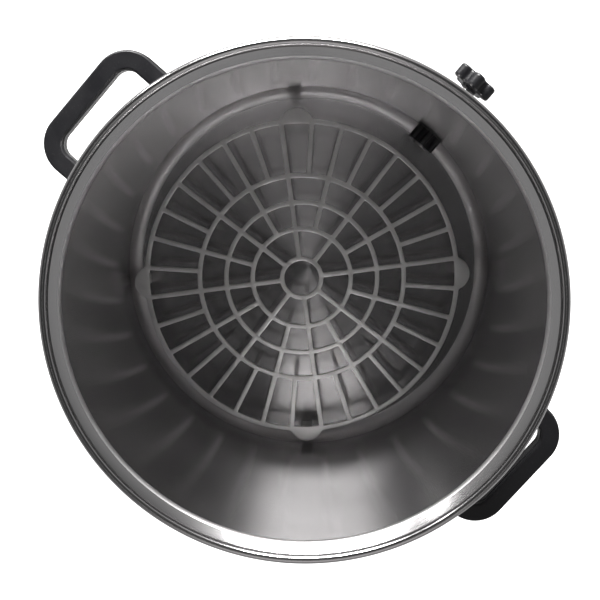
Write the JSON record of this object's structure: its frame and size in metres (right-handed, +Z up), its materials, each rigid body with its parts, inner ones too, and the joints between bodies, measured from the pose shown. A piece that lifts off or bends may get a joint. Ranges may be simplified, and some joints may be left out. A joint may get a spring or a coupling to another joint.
{
  "type": "turkey fryer pot with rack and drain tap",
  "caption": "Tall round stainless frying pot with a rolled rim, side handles with black grips, a loose web rack inside and a screw-down drain tap with a star knob.",
  "frame": {"origin": "on the pot axis, at the underside of the floor, where the pot stands", "axes": "+Z up along the pot axis; +X and -X towards the two handles; -Y towards the drain tap"},
  "size_m": [0.489, 0.4386, 0.3012],
  "materials": {
    "pot_steel": "circumferentially brushed",
    "weld_pad": "brushed",
    "handle_steel": "satin",
    "grip_black": "satin moulded",
    "screw_steel": "plated",
    "rack_steel": "satin, pressed",
    "tap_metal": "plated, lightly worn",
    "silicone": "soft matt",
    "nut_black": "satin moulded",
    "packing": "waxy",
    "brass_works": "turned",
    "seat_rubber": "matt",
    "knob_black": "semi-gloss moulded"
  },
  "bodies": {
    "pot": {"pot_shell": "pot_steel", "handle_pads_left": "weld_pad", "handle_pads_right": "weld_pad", "handle_channel_left": "handle_steel", "handle_channel_right": "handle_steel", "handle_grip_left": "grip_black", "handle_grip_right": "grip_black", "grip_screws": "screw_steel", "tap_body": "tap_metal", "inner_gasket": "silicone", "outer_gasket": "silicone", "lock_nut": "nut_black", "bonnet_nut": "tap_metal", "packing_ring": "packing", "gland_nut": "tap_metal"},
    "rack": {"rack_web": "rack_steel", "rack_legs": "rack_steel"},
    "tap_jumper": {"jumper": "brass_works", "seat_washer": "seat_rubber", "seat_screw": "screw_steel"},
    "tap_knob": {"tap_stem": "brass_works", "star_knob": "knob_black", "cap_washer": "screw_steel", "cap_screw": "screw_steel"}
  },
  "joints": [
    {"name": "rack_lift", "type": "slide", "parent": "pot", "child": "rack", "axis": [0, 0, 1], "range_m": [0, 0.32]},
    {"name": "jumper_lift", "type": "slide", "parent": "pot", "child": "tap_jumper", "axis": [0, -1, 0], "range_m": [0, 0.005]},
    {"name": "knob_turn", "type": "hinge", "parent": "tap_jumper", "child": "tap_knob", "pos_m": [0, -0.2, 0.0412], "axis": [0, -1, 0], "range_deg": [0, 720]}
  ],
  "couplings": [
    {"joint": "jumper_lift", "follows": "knob_turn", "m_per_rad": 0.00039785}
  ]
}
